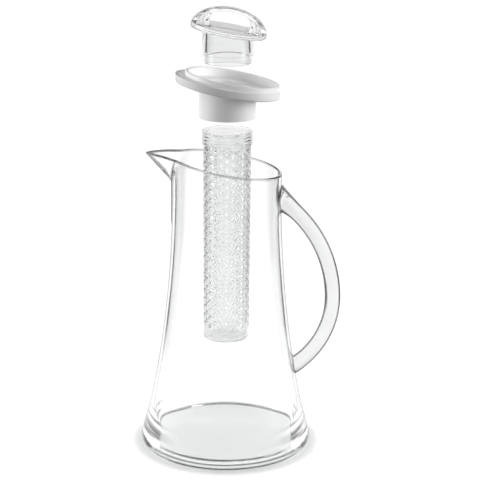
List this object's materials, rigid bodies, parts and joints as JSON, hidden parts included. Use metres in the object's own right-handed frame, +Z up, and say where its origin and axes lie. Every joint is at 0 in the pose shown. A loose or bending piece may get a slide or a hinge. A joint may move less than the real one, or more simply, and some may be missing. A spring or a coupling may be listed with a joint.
{
  "type": "fruit infuser pitcher",
  "caption": "Clear pitcher with a flared body, pinched spout and arched handle, a slanted white lid with a soft seal, a pierced infuser tube and a domed stopper",
  "frame": {"origin": "centre of the flat underside of the base, on the pitcher's axis", "axes": "+Z up along the axis, -X towards the spout, +X towards the handle, +Y across"},
  "size_m": [0.173, 0.1483, 0.382],
  "materials": {
    "clear_body": "clear polished acrylic",
    "clear_infuser": "clear moulded acrylic",
    "clear_stopper": "clear polished acrylic",
    "white_plastic": "white satin moulded plastic",
    "white_silicone": "white matte silicone"
  },
  "bodies": {
    "pitcher": {"pitcher_body": "clear_body", "pitcher_base": "clear_body", "pitcher_handle": "clear_body"},
    "lid": {"lid_dish": "white_plastic", "lid_seal": "white_silicone"},
    "infuser": {"infuser_tube": "clear_infuser"},
    "stopper": {"stopper_cap": "clear_stopper", "stopper_plug": "clear_stopper"}
  },
  "joints": [
    {"name": "lid_lift", "type": "slide", "parent": "pitcher", "child": "lid", "axis": [0, 0, 1], "range_m": [-0.0705, 0.165]},
    {"name": "infuser_lift", "type": "slide", "parent": "lid", "child": "infuser", "axis": [0, 0, 1], "range_m": [0, 0.0205]},
    {"name": "stopper_lift", "type": "slide", "parent": "lid", "child": "stopper", "axis": [0, 0, 1], "range_m": [-0.0429, 0]}
  ]
}
